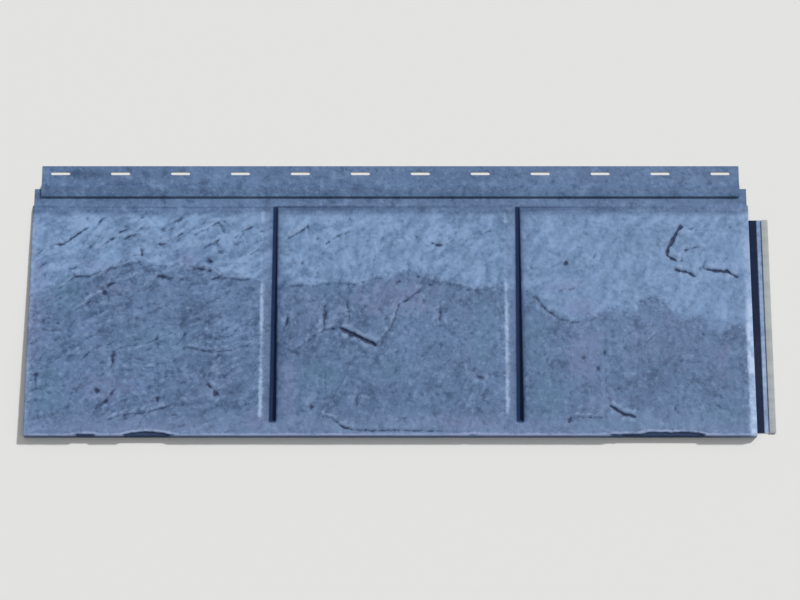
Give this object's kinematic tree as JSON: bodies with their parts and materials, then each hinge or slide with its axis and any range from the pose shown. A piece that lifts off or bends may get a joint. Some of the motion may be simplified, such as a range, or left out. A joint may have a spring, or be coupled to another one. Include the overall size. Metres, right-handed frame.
{
  "type": "slate roof tile",
  "caption": "Pressed sheet-metal roof panel in the look of riven slates, with a raised butt, grooves, side laps, a head lock and a slotted nail flange.",
  "frame": {"origin": "middle of the panel's outline, on the deck that it lies on", "axes": "+X along the course, left to right seen from the butt; +Y up the roof slope; +Z out of the roof"},
  "size_m": [0.9294, 0.356, 0.011],
  "materials": {
    "painted_sheet": "satin slate-blue paint on steel, with paler weathered patches"
  },
  "bodies": {
    "root": {"slate_panel": "painted_sheet"}
  },
  "joints": []
}
